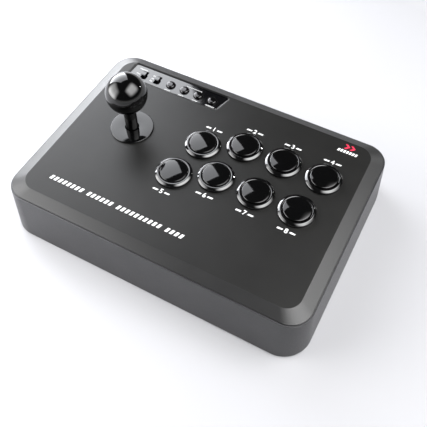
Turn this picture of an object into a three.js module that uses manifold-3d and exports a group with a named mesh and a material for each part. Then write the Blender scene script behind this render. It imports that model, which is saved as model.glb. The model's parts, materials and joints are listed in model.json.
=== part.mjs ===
// Arcade joystick panel: a ball-top lever, eight push buttons and a strip of small controls on a
// low box-shaped case. Millimetres, +Z up. The origin is under the centre of the case, on the
// surface that the feet stand on. The player sits on the -Y side, and +X is to the right.

import * as THREE from 'three';
import { mergeVertices } from 'three/addons/utils/BufferGeometryUtils.js';
import Module from 'manifold-3d';

const wasm = await Module();
wasm.setup();

// ---------------------------------------------------------------------------------------------
// Driving dimensions
// ---------------------------------------------------------------------------------------------

// Case: a flat deck with a sloping shoulder, on a tub whose walls flare towards the table.
const DECK_Z = 45;
const DECK_THICKNESS = 3;
const DECK_FACE = { width: 212.8, depth: 144.8, corner: 11.2 };
const SHOULDER_RUN = { x: 10.1, y: 8.9 };
const SHOULDER_DROP = 4.2;
const SEAM_CORNER = 16.4;
const BASE_Z = 1.4;
const BASE_CORNER = 20.7;
const WALL_FLARE = { x: 3.2, y: 4.7 };
const WALL = 2.6;
const FLOOR = 2.5;
const SEAM_GAP = 0.25;

// Gaps between parts that rest on, slide in or pass through one another.
const CLEARANCE = 0.3;

// Push buttons: two curved rows of four, each button snapped into a 24 mm hole.
const BUTTON_HOLE_RADIUS = 12;
const RIM_RADIUS = 13.5;
const RIM_HEIGHT = 3;
const BARREL_RADIUS = 11.7;
const BARREL_DEPTH = 15;
const BORE_RADIUS = 10.25;
const CAP_RADIUS = 9.9;
const CAP_RISE = 4.4;
const BUTTON_TRAVEL = 2.2;
const COLUMN_PITCH = 31.1;
const SECOND_COLUMN = { x: 20.3, y: 31.1 };
const ROW_STEP = { x: -5.8, y: -33.8 };
const FIRST_COLUMN_STEP = { x: -28.3, upperY: -12.1, lowerY: -11 };

// Lever: it tilts about a ball joint under the deck, inside a square restrictor gate.
const LEVER = { x: -63.8, y: 9.6 };
const PIVOT_Z = 33;
const BALL_RADIUS = 15;
const BALL_Z = DECK_Z + 35.2;
const SHAFT_RADIUS = 3;
const SHAFT_BORE = SHAFT_RADIUS + 0.2;
const SLEEVE_RADIUS = 4.7;
const DECK_HOLE_RADIUS = 10;
const WASHER_RADIUS = 16.3;
const WASHER_THICKNESS = 1.1;
const HOUSING_SIZE = 46;
const PLATE = { width: 70, depth: 56, z: 38.8, thickness: 1.5 };
const PLATE_SCREW = { x: 30, y: 22, shank: 1.2, head: 2.6 };
const PLATE_POST_RADIUS = 3.4;
const PLATE_HOLE_RADIUS = 9;

// Control strip: a panel in a shallow recess at the back left. Its right end slants outwards, and
// its left end is nearly square. Each lean is how much further right the end is at its back.
const STRIP = { left: -98.4, right: -14.8, front: 55.6, back: 71.8 };
const STRIP_LEAN = { left: 0.7, right: 4.4 };
const STRIP_CORNER = 1.8;
const STRIP_RECESS = 2.2;
const STRIP_PANEL = 1.05;
const CONTROL_PITCH = 12.5;
const CONTROL_Y = 62.6;
const FIRST_CONTROL_X = -86.2;

// Small hardware.
const FOOT = { radius: 8, height: 2.7, x: 98, y: 64 };
const CASE_SCREW = { x: 104, y: 40, shank: 1.4, head: 2.9 };
const CABLE_OUTLET = { x: 0, z: 27 };

// ---------------------------------------------------------------------------------------------
// Shape helpers
// ---------------------------------------------------------------------------------------------

const ROUND = 16;
const SMALL_ROUND = 8;
const LARGE_ROUND = 24;
const CORNER_DIVISIONS = 3;

function roundedRectangle({ width, depth, corner }) {
  const x = width / 2 - corner;
  const y = depth / 2 - corner;
  const quarter = Math.PI / 2;
  const shape = new THREE.Shape();
  shape.absarc(x, y, corner, 0, quarter);
  shape.absarc(-x, y, corner, quarter, 2 * quarter);
  shape.absarc(-x, -y, corner, 2 * quarter, 3 * quarter);
  shape.absarc(x, -y, corner, 3 * quarter, 4 * quarter);
  return shape;
}

// A solid through a stack of rounded rectangles, from the lowest level to the highest.
function loft(levels) {
  const rings = levels.map((level) => roundedRectangle(level).getPoints(CORNER_DIVISIONS));
  const count = rings[0].length;
  const positions = [];
  const index = [];
  rings.forEach((ring, row) => {
    ring.forEach((point) => positions.push(point.x, point.y, levels[row].z));
  });
  for (let row = 0; row + 1 < rings.length; row += 1) {
    for (let i = 0; i < count; i += 1) {
      const a = row * count + i;
      const b = row * count + ((i + 1) % count);
      index.push(a, b, b + count, a, b + count, a + count);
    }
  }
  const top = (rings.length - 1) * count;
  for (const [a, b, c] of THREE.ShapeUtils.triangulateShape(rings[0], [])) {
    index.push(c, b, a);
  }
  for (const [a, b, c] of THREE.ShapeUtils.triangulateShape(rings.at(-1), [])) {
    index.push(top + a, top + b, top + c);
  }
  const geometry = new THREE.BufferGeometry();
  geometry.setAttribute('position', new THREE.Float32BufferAttribute(positions, 3));
  geometry.setIndex(index);
  return geometry;
}

// A solid of revolution about Z. The profile is a list of [radius, height], anticlockwise.
function revolve(profile, segments = ROUND) {
  const points = profile.map(([radius, height]) => new THREE.Vector2(radius, height));
  return new THREE.LatheGeometry(points, segments).rotateX(Math.PI / 2);
}

function ring(inner, outer, bottom, top, segments = ROUND) {
  return revolve(
    [[inner, bottom], [outer, bottom], [outer, top], [inner, top], [inner, bottom]],
    segments,
  );
}

function rod(radius, bottom, top, segments = ROUND) {
  return revolve([[0, bottom], [radius, bottom], [radius, top], [0, top]], segments);
}

function block(width, depth, bottom, top) {
  const geometry = new THREE.BoxGeometry(width, depth, top - bottom);
  return geometry.translate(0, 0, (bottom + top) / 2);
}

function prism(shape, bottom, top) {
  const options = { depth: top - bottom, bevelEnabled: false, curveSegments: CORNER_DIVISIONS };
  return new THREE.ExtrudeGeometry(shape, options).translate(0, 0, bottom);
}

// Points [radius, height] on an arc about a centre on the axis, from one angle to another.
function arc(centre, radius, from, to, steps) {
  return Array.from({ length: steps + 1 }, (_, i) => {
    const angle = from + ((to - from) * i) / steps;
    return [radius * Math.cos(angle), centre + radius * Math.sin(angle)];
  });
}

function solid(geometry) {
  const bare = geometry.clone();
  bare.deleteAttribute('normal');
  bare.deleteAttribute('uv');
  const merged = mergeVertices(bare, 1e-4);
  const corners = merged.index.array;
  const triangles = [];
  for (let i = 0; i < corners.length; i += 3) {
    const [a, b, c] = corners.slice(i, i + 3);
    if (a !== b && b !== c && c !== a) {
      triangles.push(a, b, c);
    }
  }
  return new wasm.Manifold(new wasm.Mesh({
    numProp: 3,
    vertProperties: merged.attributes.position.array,
    triVerts: new Uint32Array(triangles),
  }));
}

// One body from a first geometry, the geometries joined to it and the ones cut from the result.
function combine(first, joined, cut) {
  let body = solid(first);
  for (const geometry of joined) {
    body = body.add(solid(geometry));
  }
  for (const geometry of cut) {
    body = body.subtract(solid(geometry));
  }
  const mesh = body.getMesh();
  const geometry = new THREE.BufferGeometry();
  geometry.setAttribute('position', new THREE.Float32BufferAttribute(mesh.vertProperties, 3));
  geometry.setIndex(Array.from(mesh.triVerts));
  return geometry;
}

function at(geometry, x, y) {
  return geometry.translate(x, y, 0);
}

function corners(x, y) {
  return [[-x, -y], [x, -y], [x, y], [-x, y]];
}

// ---------------------------------------------------------------------------------------------
// Materials
// ---------------------------------------------------------------------------------------------

function material(color, roughness, metalness = 0) {
  return () => new THREE.MeshStandardMaterial({ color, roughness, metalness });
}

const MATTE_BLACK = material(0x2b2b2d, 0.6);
const GLOSS_BLACK = material(0x09090a, 0.12);
const PANEL_BLACK = material(0x101012, 0.18);
const INNER_BLACK = material(0x1a1a1c, 0.55);
const RUBBER = material(0x151515, 0.85);
const STEEL = material(0xa8abae, 0.35, 1);
const WHITE_PLASTIC = material(0xdcd8cc, 0.5);
const RED_PLASTIC = material(0xa02820, 0.45);
const BOARD_GREEN = material(0x1d5a34, 0.5);

const panel = new THREE.Group();

function part(name, geometry, finish, x = 0, y = 0) {
  const mesh = new THREE.Mesh(geometry, finish());
  mesh.name = name;
  mesh.position.set(x, y, 0);
  panel.add(mesh);
  return mesh;
}

// ---------------------------------------------------------------------------------------------
// Places worked out from the driving dimensions
// ---------------------------------------------------------------------------------------------

const DECK_UNDERSIDE = DECK_Z - DECK_THICKNESS;
const SEAM_Z = DECK_Z - SHOULDER_DROP;

function grown(level, by, corner) {
  return { width: level.width + 2 * by.x, depth: level.depth + 2 * by.y, corner };
}

function shrunk(level, by, corner) {
  return grown(level, { x: -by, y: -by }, corner - by);
}

const SEAM = grown(DECK_FACE, SHOULDER_RUN, SEAM_CORNER);
const BASE = grown(SEAM, WALL_FLARE, BASE_CORNER);

// Buttons 1 to 4 are the upper row from left to right, and 5 to 8 the lower row.
const UPPER_ROW = [0, 1, 2].map((i) => ({
  x: SECOND_COLUMN.x + i * COLUMN_PITCH,
  y: SECOND_COLUMN.y,
}));
const LOWER_ROW = UPPER_ROW.map(({ x, y }) => ({ x: x + ROW_STEP.x, y: y + ROW_STEP.y }));
UPPER_ROW.unshift({
  x: UPPER_ROW[0].x + FIRST_COLUMN_STEP.x,
  y: UPPER_ROW[0].y + FIRST_COLUMN_STEP.upperY,
});
LOWER_ROW.unshift({
  x: LOWER_ROW[0].x + FIRST_COLUMN_STEP.x,
  y: LOWER_ROW[0].y + FIRST_COLUMN_STEP.lowerY,
});
const BUTTONS = [...UPPER_ROW, ...LOWER_ROW];

// Two slide switches, three small push buttons and the home button, from left to right.
const CONTROLS = [0, 1, 2, 3, 4, 5].map((i) => FIRST_CONTROL_X + i * CONTROL_PITCH);
const SLIDE_SWITCHES = CONTROLS.slice(0, 2);
const SMALL_BUTTONS = CONTROLS.slice(2);

// ---------------------------------------------------------------------------------------------
// Case: top shell, bottom shell, their screws, the feet and the cable outlet
// ---------------------------------------------------------------------------------------------

function stripOutline(inset) {
  const shape = new THREE.Shape();
  const front = STRIP.front + inset;
  const back = STRIP.back - inset;
  const ends = [
    [STRIP.left - STRIP_LEAN.left / 2 + inset, front],
    [STRIP.right - STRIP_LEAN.right / 2 - inset, front],
    [STRIP.right + STRIP_LEAN.right / 2 - inset, back],
    [STRIP.left + STRIP_LEAN.left / 2 + inset, back],
  ].map(([x, y]) => new THREE.Vector2(x, y));
  ends.forEach((corner, i) => {
    const before = ends[(i + 3) % 4].clone().sub(corner).setLength(STRIP_CORNER).add(corner);
    const after = ends[(i + 1) % 4].clone().sub(corner).setLength(STRIP_CORNER).add(corner);
    if (i === 0) {
      shape.moveTo(before.x, before.y);
    } else {
      shape.lineTo(before.x, before.y);
    }
    shape.quadraticCurveTo(corner.x, corner.y, after.x, after.y);
  });
  return shape;
}

const STRIP_FLOOR = DECK_Z - STRIP_RECESS;
const LIP = { thickness: 1.8, depth: 3 };
const CASE_POST_Z = 26;
const CASE_POST_RADIUS = 4.5;
const LID_POST_RADIUS = 4;
const SCREW_CHANNEL_Z = 20;
const STRIP_WINDOW = { width: 76, depth: 12 };

function topShell() {
  const outside = shrunk(SEAM, WALL + CLEARANCE, SEAM_CORNER);
  const inside = shrunk(SEAM, WALL + CLEARANCE + LIP.thickness, SEAM_CORNER);
  const shell = loft([
    { ...SEAM, z: SEAM_Z },
    { ...DECK_FACE, z: DECK_Z },
  ]);
  const lip = loft([
    { ...outside, z: SEAM_Z - LIP.depth },
    { ...outside, z: SEAM_Z + CLEARANCE },
  ]);
  const hollow = loft([
    { ...inside, z: SEAM_Z - LIP.depth - 1 },
    { ...inside, z: SEAM_Z },
    { ...shrunk(DECK_FACE, CLEARANCE, DECK_FACE.corner), z: DECK_UNDERSIDE },
  ]);
  const shellWithLip = combine(shell, [lip], [hollow]);
  const lidPosts = corners(CASE_SCREW.x, CASE_SCREW.y)
    .map(([x, y]) => at(rod(LID_POST_RADIUS, CASE_POST_Z + CLEARANCE, DECK_Z - 1), x, y));
  const platePosts = corners(PLATE_SCREW.x, PLATE_SCREW.y).map(([x, y]) => {
    const bottom = PLATE.z + PLATE.thickness;
    const post = rod(PLATE_POST_RADIUS, bottom, DECK_Z - 1, SMALL_ROUND);
    return at(post, LEVER.x + x, LEVER.y + y);
  });
  const casePilot = CASE_SCREW.shank + CLEARANCE;
  const platePilot = PLATE_SCREW.shank + CLEARANCE;
  const pilotHoles = [
    ...corners(CASE_SCREW.x, CASE_SCREW.y)
      .map(([x, y]) => at(rod(casePilot, SCREW_CHANNEL_Z, DECK_Z - 4, SMALL_ROUND), x, y)),
    ...corners(PLATE_SCREW.x, PLATE_SCREW.y)
      .map(([x, y]) => at(rod(platePilot, PLATE.z, DECK_Z - 1.5, SMALL_ROUND), x, y))
      .map((hole) => at(hole, LEVER.x, LEVER.y)),
  ];
  const buttonHoles = BUTTONS
    .map(({ x, y }) => at(rod(BUTTON_HOLE_RADIUS, DECK_UNDERSIDE - 1, DECK_Z + 1), x, y));
  const stripX = (STRIP.left + STRIP.right) / 2;
  const opening = block(STRIP_WINDOW.width, STRIP_WINDOW.depth, DECK_UNDERSIDE - 1, DECK_Z);
  return combine(shellWithLip, [...lidPosts, ...platePosts], [
    ...pilotHoles,
    ...buttonHoles,
    at(rod(DECK_HOLE_RADIUS, DECK_UNDERSIDE - 1, DECK_Z + 1), LEVER.x, LEVER.y),
    prism(stripOutline(0), STRIP_FLOOR, DECK_Z + 1),
    at(opening, stripX, CONTROL_Y),
  ]);
}

// The outlet is a flat pad on the sloping back wall, with a hole for the cable grommet.
const OUTLET = { pad: 17, face: 83.7, inner: 78, hole: 4.8 };

function bottomShell() {
  const wallTop = SEAM_Z - SEAM_GAP;
  const shell = loft([
    { ...BASE, z: BASE_Z },
    { ...SEAM, z: wallTop },
  ]);
  const outletPad = block(OUTLET.pad, OUTLET.face - OUTLET.inner, 0, OUTLET.pad)
    .translate(CABLE_OUTLET.x, (OUTLET.face + OUTLET.inner) / 2, CABLE_OUTLET.z - OUTLET.pad / 2);
  const outletHole = rod(OUTLET.hole, 70, 90).rotateX(-Math.PI / 2)
    .translate(CABLE_OUTLET.x, 0, CABLE_OUTLET.z);
  const hollow = loft([
    { ...shrunk(BASE, WALL, BASE_CORNER), z: BASE_Z + FLOOR },
    { ...shrunk(SEAM, WALL, SEAM_CORNER), z: wallTop + 1 },
  ]);
  const posts = corners(CASE_SCREW.x, CASE_SCREW.y)
    .map(([x, y]) => at(rod(CASE_POST_RADIUS, BASE_Z + 1, CASE_POST_Z), x, y));
  const standoffs = BOARD_FIXINGS
    .map(([x, y]) => at(rod(3, BASE_Z + 1, MAIN_BOARD.z, SMALL_ROUND), x, y));
  const screwChannels = corners(CASE_SCREW.x, CASE_SCREW.y).flatMap(([x, y]) => [
    at(rod(CASE_SCREW.head + CLEARANCE, 0, SCREW_CHANNEL_Z), x, y),
    at(rod(CASE_SCREW.shank + CLEARANCE, SCREW_CHANNEL_Z - 1, CASE_POST_Z + 1), x, y),
  ]);
  const footPockets = corners(FOOT.x, FOOT.y)
    .map(([x, y]) => at(rod(FOOT.radius + CLEARANCE, 0, FOOT.height + 0.1), x, y));
  const tub = combine(shell, [], [hollow]);
  return combine(tub, [outletPad, ...posts, ...standoffs], [
    outletHole,
    ...screwChannels,
    ...footPockets,
  ]);
}

// The main circuit board lies on the floor of the case, under the push buttons.
const MAIN_BOARD = { width: 74, depth: 46, x: 40, y: 44, z: 7, thickness: 1.6 };
const BOARD_FIXINGS = corners(MAIN_BOARD.width / 2 - 4, MAIN_BOARD.depth / 2 - 4)
  .map(([x, y]) => [MAIN_BOARD.x + x, MAIN_BOARD.y + y]);

function mainBoard() {
  const bottom = MAIN_BOARD.z;
  const top = bottom + MAIN_BOARD.thickness;
  const chip = at(block(14, 14, top - 0.2, top + 1.4), -12, 0);
  const cableSocket = at(block(18, 7, top - 0.2, top + 5), -18, MAIN_BOARD.depth / 2 - 5);
  const buttonSocket = at(block(30, 6, top - 0.2, top + 5), 14, -MAIN_BOARD.depth / 2 + 5);
  const leverSocket = at(block(6, 14, top - 0.2, top + 5), -MAIN_BOARD.width / 2 + 5, 0);
  return combine(
    block(MAIN_BOARD.width, MAIN_BOARD.depth, bottom, top),
    [chip, cableSocket, buttonSocket, leverSocket],
    [],
  );
}

part('top_shell', topShell(), MATTE_BLACK);
part('bottom_shell', bottomShell(), MATTE_BLACK);
part('main_board', mainBoard(), BOARD_GREEN, MAIN_BOARD.x, MAIN_BOARD.y);

function foot() {
  const bevel = 0.8;
  return revolve([
    [0, 0],
    [FOOT.radius - bevel, 0],
    [FOOT.radius, bevel],
    [FOOT.radius, FOOT.height],
    [0, FOOT.height],
  ]);
}

function caseScrew() {
  const seat = SCREW_CHANNEL_Z - 0.1;
  return revolve([
    [0, seat - 2.2],
    [CASE_SCREW.head, seat - 2.2],
    [CASE_SCREW.head, seat],
    [CASE_SCREW.shank, seat],
    [CASE_SCREW.shank, DECK_Z - 5],
    [0, DECK_Z - 5],
  ], SMALL_ROUND);
}

const CORNER_NAMES = ['front_left', 'front_right', 'back_right', 'back_left'];
corners(FOOT.x, FOOT.y).forEach(([x, y], i) => {
  part(`foot_${CORNER_NAMES[i]}`, foot(), RUBBER, x, y);
});
corners(CASE_SCREW.x, CASE_SCREW.y).forEach(([x, y], i) => {
  part(`case_screw_${CORNER_NAMES[i]}`, caseScrew(), STEEL, x, y);
});

// A rubber ring with a groove that the outlet's wall snaps into.
function cableGrommet() {
  const bore = 3.4;
  const neck = OUTLET.hole - CLEARANCE;
  const flange = 6.6;
  const outside = OUTLET.face + 0.1;
  const inside = OUTLET.inner - 0.1;
  const profile = [
    [bore, inside - 1.6],
    [flange, inside - 1.6],
    [flange, inside],
    [neck, inside],
    [neck, outside],
    [flange, outside],
    [flange - 0.6, outside + 1.4],
    [bore, outside + 1.4],
    [bore, inside - 1.6],
  ];
  return revolve(profile).rotateX(-Math.PI / 2).translate(0, 0, CABLE_OUTLET.z);
}

part('cable_grommet', cableGrommet(), RUBBER, CABLE_OUTLET.x);

// ---------------------------------------------------------------------------------------------
// Control strip: panel, board, slide switches, small buttons and home button
// ---------------------------------------------------------------------------------------------

const SLIDE_SLOT = { width: 4.4, depth: 9 };
const SMALL_BUTTON = { radius: 3.6, rise: 0.9, dome: 0.5, flange: 4.4, bottom: 41.4 };
const SLIDE_KNOB = { width: 3.6, depth: 4.4, rise: 1.2 };
const STRIP_BOARD = { z: 38, thickness: 1.4, width: 74, depth: 11 };

function controlStrip() {
  const bottom = STRIP_FLOOR + 0.05;
  const slots = SLIDE_SWITCHES
    .map((x) => at(block(SLIDE_SLOT.width, SLIDE_SLOT.depth, 40, 50), x, CONTROL_Y));
  const holes = SMALL_BUTTONS
    .map((x) => at(rod(SMALL_BUTTON.radius + CLEARANCE, 40, 50), x, CONTROL_Y));
  const panelShape = prism(stripOutline(CLEARANCE), bottom, bottom + STRIP_PANEL);
  return combine(panelShape, [], [...slots, ...holes]);
}

// The board hangs under the strip and carries the switch bodies.
function stripBoard() {
  const top = STRIP_BOARD.z + STRIP_BOARD.thickness;
  const slides = SLIDE_SWITCHES
    .map((x) => at(block(7, 10, top - 0.2, top + 0.9), x, CONTROL_Y));
  const presses = SMALL_BUTTONS
    .map((x) => at(block(5, 5, top - 0.2, top + 0.9), x, CONTROL_Y));
  const board = at(
    block(STRIP_BOARD.width, STRIP_BOARD.depth, STRIP_BOARD.z, top),
    (CONTROLS[0] + CONTROLS.at(-1)) / 2,
    CONTROL_Y,
  );
  return combine(board, [...slides, ...presses], []);
}

function slideKnob() {
  const top = DECK_Z + SLIDE_KNOB.rise;
  const stem = block(2, 2.4, STRIP_BOARD.z + STRIP_BOARD.thickness + 1.2, 43);
  return combine(block(SLIDE_KNOB.width, SLIDE_KNOB.depth, 42.6, top), [stem], []);
}

function smallButton() {
  const { radius, rise, dome, flange, bottom } = SMALL_BUTTON;
  const flangeTop = STRIP_FLOOR - 0.4;
  return revolve([
    [0, bottom],
    [flange, bottom],
    [flange, flangeTop],
    [radius, flangeTop],
    [radius, DECK_Z + rise - dome],
    [0, DECK_Z + rise],
  ], SMALL_ROUND);
}

part('control_strip', controlStrip(), PANEL_BLACK);
part('strip_board', stripBoard(), BOARD_GREEN);
['left', 'right'].forEach((side, i) => {
  part(`slide_switch_${side}`, slideKnob(), INNER_BLACK, SLIDE_SWITCHES[i], CONTROL_Y);
});
['function_button_1', 'function_button_2', 'function_button_3', 'home_button']
  .forEach((name, i) => {
    part(name, smallButton(), GLOSS_BLACK, SMALL_BUTTONS[i], CONTROL_Y);
  });

// ---------------------------------------------------------------------------------------------
// Lever: ball top, shaft, ball joint, spring, actuator, gate, switches and dust washers
// ---------------------------------------------------------------------------------------------

const SEAT_RADIUS = 9.8;
const BUSH_RADIUS = 9;
const BUSH_CAVITY = 7.4;
const BUSH_HALF = 4.8;
const JOINT_BALL = { radius: 6.5, half: 5 };
const HOUSING_TOP = PLATE.z - 0.1;
const HOUSING_BOTTOM = 14.6;
const HOUSING_WALL = 2;
const HOUSING_CROWN_Z = 25.5;
const HOUSING_NECK_RADIUS = 7.4;
const ACTUATOR = { radius: 6, bottom: 13.6, top: 21.6 };
const LEVER_BOARD = { width: 44, bottom: 13.1, top: 14.3, hole: 9.5 };
const GATE = { bottom: 9.8, top: 11.8, play: 4 };
const SWITCH = { reach: 10.5, length: 18, depth: 9.6, bottom: 14.6, top: 20.8 };
const CLIP = { outer: 4.6, bottom: 12.6, top: 13.3 };
const SHAFT_BOTTOM = 9;
const SLEEVE_BOTTOM = PIVOT_Z + 7.6;

function platePlaces() {
  return corners(PLATE_SCREW.x, PLATE_SCREW.y);
}

function leverPlate() {
  const shape = { width: PLATE.width, depth: PLATE.depth, corner: 4 };
  const sheet = prism(roundedRectangle(shape), PLATE.z, PLATE.z + PLATE.thickness - 0.1);
  const screwHoles = platePlaces().map(([x, y]) => at(rod(1.7, 30, 45, SMALL_ROUND), x, y));
  return combine(sheet, [], [rod(PLATE_HOLE_RADIUS, 30, 45), ...screwHoles]);
}

function plateScrew() {
  const seat = PLATE.z - 0.1;
  return revolve([
    [0, seat - 1.8],
    [PLATE_SCREW.head, seat - 1.8],
    [PLATE_SCREW.head, seat],
    [PLATE_SCREW.shank, seat],
    [PLATE_SCREW.shank, DECK_Z - 2],
    [0, DECK_Z - 2],
  ], SMALL_ROUND);
}

// A box open downwards, whose thick crown holds the spherical seat of the ball joint.
function leverHousing() {
  const room = HOUSING_SIZE - 2 * HOUSING_WALL;
  const seat = revolve(arc(PIVOT_Z, SEAT_RADIUS, -Math.PI / 2, Math.PI / 2, 8));
  return combine(block(HOUSING_SIZE, HOUSING_SIZE, HOUSING_BOTTOM, HOUSING_TOP), [], [
    block(room, room, HOUSING_BOTTOM - 1, HOUSING_CROWN_Z),
    seat,
    rod(HOUSING_NECK_RADIUS, HOUSING_CROWN_Z - 1, HOUSING_TOP + 1),
  ]);
}

// A spherical ring about the pivot, cut flat above and below.
function sphericalRing(outer, inner, half) {
  const outerAngle = Math.asin(half / outer);
  const innerAngle = Math.asin(half / inner);
  const profile = [
    ...arc(PIVOT_Z, outer, -outerAngle, outerAngle, 4),
    ...arc(PIVOT_Z, inner, innerAngle, -innerAngle, 3),
  ];
  return revolve([...profile, profile[0]]);
}

function jointBall() {
  const { radius, half } = JOINT_BALL;
  const angle = Math.asin(half / radius);
  const profile = [
    [SHAFT_BORE, PIVOT_Z - half],
    ...arc(PIVOT_Z, radius, -angle, angle, 4),
    [SHAFT_BORE, PIVOT_Z + half],
    [SHAFT_BORE, PIVOT_Z - half],
  ];
  return revolve(profile);
}

function leverShaft() {
  const tip = 0.6;
  const top = BALL_Z - 5;
  return revolve([
    [0, SHAFT_BOTTOM],
    [SHAFT_RADIUS - tip, SHAFT_BOTTOM],
    [SHAFT_RADIUS, SHAFT_BOTTOM + tip],
    [SHAFT_RADIUS, top],
    [0, top],
  ]);
}

const BALL_FLAT_Z = BALL_Z - Math.sqrt(BALL_RADIUS ** 2 - SLEEVE_RADIUS ** 2);

function shaftSleeve() {
  return ring(SHAFT_BORE, SLEEVE_RADIUS, SLEEVE_BOTTOM, BALL_FLAT_Z - 0.1);
}

function ballTop() {
  const low = -Math.acos(SLEEVE_RADIUS / BALL_RADIUS);
  const profile = [
    [SHAFT_BORE, BALL_FLAT_Z],
    ...arc(BALL_Z, BALL_RADIUS, low, Math.PI / 2, 10),
    [0, BALL_Z - 4],
    [SHAFT_BORE, BALL_Z - 4],
    [SHAFT_BORE, BALL_FLAT_Z],
  ];
  return revolve(profile, LARGE_ROUND);
}

function actuator() {
  const { radius, bottom, top } = ACTUATOR;
  return revolve([
    [SHAFT_BORE, bottom],
    [radius - 0.8, bottom],
    [radius, bottom + 1],
    [radius, top - 1],
    [radius - 0.8, top],
    [SHAFT_BORE, top],
    [SHAFT_BORE, bottom],
  ]);
}

function retainingClip() {
  return ring(SHAFT_BORE, CLIP.outer, CLIP.bottom, CLIP.top);
}

// A compression spring between the joint ball and the actuator.
function returnSpring() {
  const turns = 4;
  const wire = 0.45;
  const radius = 4.4;
  const bottom = ACTUATOR.top + wire + 0.1;
  const top = PIVOT_Z - JOINT_BALL.half - wire - 0.1;
  const stepsPerTurn = 10;
  const points = Array.from({ length: turns * stepsPerTurn + 1 }, (_, i) => {
    const angle = (2 * Math.PI * i) / stepsPerTurn;
    const height = bottom + ((top - bottom) * i) / (turns * stepsPerTurn);
    return new THREE.Vector3(radius * Math.cos(angle), radius * Math.sin(angle), height);
  });
  const section = new THREE.Shape(new THREE.EllipseCurve(0, 0, wire, wire).getPoints(5));
  return new THREE.ExtrudeGeometry(section, {
    steps: turns * stepsPerTurn,
    bevelEnabled: false,
    extrudePath: new THREE.CatmullRomCurve3(points),
  });
}

// The square hole lets the shaft lean by the same amount towards every side.
function restrictorGate() {
  const room = 2 * (SHAFT_RADIUS + GATE.play);
  const plate = block(HOUSING_SIZE, HOUSING_SIZE, GATE.bottom, GATE.top);
  return combine(plate, [], [block(room, room, GATE.bottom - 1, GATE.top + 1)]);
}

function leverBoard() {
  const { width, bottom, top, hole } = LEVER_BOARD;
  return combine(block(width, width, bottom, top), [], [rod(hole, bottom - 1, top + 1)]);
}

// The switch stands beside the actuator. Its plunger points at the shaft, towards -X here.
function leverSwitch() {
  const { reach, length, depth, bottom, top } = SWITCH;
  const body = block(depth, length, bottom, top).translate(reach + depth / 2, 0, 0);
  const plunger = block(2, 3, bottom + 2, top - 2).translate(reach - 0.6, 0, 0);
  return combine(body, [plunger], []);
}

part('lever_mounting_plate', leverPlate(), STEEL, LEVER.x, LEVER.y);
platePlaces().forEach(([x, y], i) => {
  part(`plate_screw_${CORNER_NAMES[i]}`, plateScrew(), STEEL, LEVER.x + x, LEVER.y + y);
});
part('lever_housing', leverHousing(), INNER_BLACK, LEVER.x, LEVER.y);
part(
  'pivot_bush', sphericalRing(BUSH_RADIUS, BUSH_CAVITY, BUSH_HALF), WHITE_PLASTIC, LEVER.x, LEVER.y,
);
part('pivot_ball', jointBall(), INNER_BLACK, LEVER.x, LEVER.y);
part('lever_shaft', leverShaft(), STEEL, LEVER.x, LEVER.y);
part('shaft_sleeve', shaftSleeve(), GLOSS_BLACK, LEVER.x, LEVER.y);
part('ball_top', ballTop(), GLOSS_BLACK, LEVER.x, LEVER.y);
part('actuator', actuator(), WHITE_PLASTIC, LEVER.x, LEVER.y);
part('return_spring', returnSpring(), STEEL, LEVER.x, LEVER.y);
part('retaining_clip', retainingClip(), STEEL, LEVER.x, LEVER.y);
part('restrictor_gate', restrictorGate(), RED_PLASTIC, LEVER.x, LEVER.y);
part('lever_board', leverBoard(), BOARD_GREEN, LEVER.x, LEVER.y);
['right', 'back', 'left', 'front'].forEach((side, i) => {
  const mesh = part(`lever_switch_${side}`, leverSwitch(), INNER_BLACK, LEVER.x, LEVER.y);
  mesh.rotation.z = (i * Math.PI) / 2;
});

// The dust washer follows the shaft over the deck, and a looser one does so under it.
const UNDER_WASHER = { hole: 7.2, radius: 14.5, z: 40.7, thickness: 1 };
const WASHER_Z = DECK_Z + 0.1;
const WASHER_HOLE = SLEEVE_RADIUS + 0.5;

part(
  'dust_washer',
  ring(WASHER_HOLE, WASHER_RADIUS, WASHER_Z, WASHER_Z + WASHER_THICKNESS, LARGE_ROUND),
  GLOSS_BLACK, LEVER.x, LEVER.y,
);
part(
  'under_deck_washer',
  ring(
    UNDER_WASHER.hole, UNDER_WASHER.radius, UNDER_WASHER.z, UNDER_WASHER.z + UNDER_WASHER.thickness,
  ),
  INNER_BLACK, LEVER.x, LEVER.y,
);

// ---------------------------------------------------------------------------------------------
// Push buttons: eight rims with their barrels, eight caps, and the board that they press
// ---------------------------------------------------------------------------------------------

const BARREL_FLOOR = 2;
const STEM_RADIUS = 3.2;
const BARREL_BOTTOM = DECK_Z - BARREL_DEPTH;
const STEM_BOTTOM = 27;
const BUTTON_BOARD = { z: 18.6, thickness: 1.6, margin: 12 };

function buttonRim() {
  const top = DECK_Z + RIM_HEIGHT;
  const profile = [
    [STEM_RADIUS + CLEARANCE, BARREL_BOTTOM],
    [BARREL_RADIUS, BARREL_BOTTOM],
    [BARREL_RADIUS, DECK_Z + 0.05],
    [RIM_RADIUS, DECK_Z + 0.05],
    [RIM_RADIUS - 1.4, top],
    [BORE_RADIUS, top],
    [BORE_RADIUS, BARREL_BOTTOM + BARREL_FLOOR],
    [STEM_RADIUS + CLEARANCE, BARREL_BOTTOM + BARREL_FLOOR],
    [STEM_RADIUS + CLEARANCE, BARREL_BOTTOM],
  ];
  return revolve(profile);
}

function buttonCap() {
  const top = DECK_Z + CAP_RISE;
  const skirt = DECK_Z - 7;
  return revolve([
    [0, STEM_BOTTOM],
    [STEM_RADIUS, STEM_BOTTOM],
    [STEM_RADIUS, skirt],
    [CAP_RADIUS, skirt],
    [CAP_RADIUS, top - 0.7],
    [0, top],
  ]);
}

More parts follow.
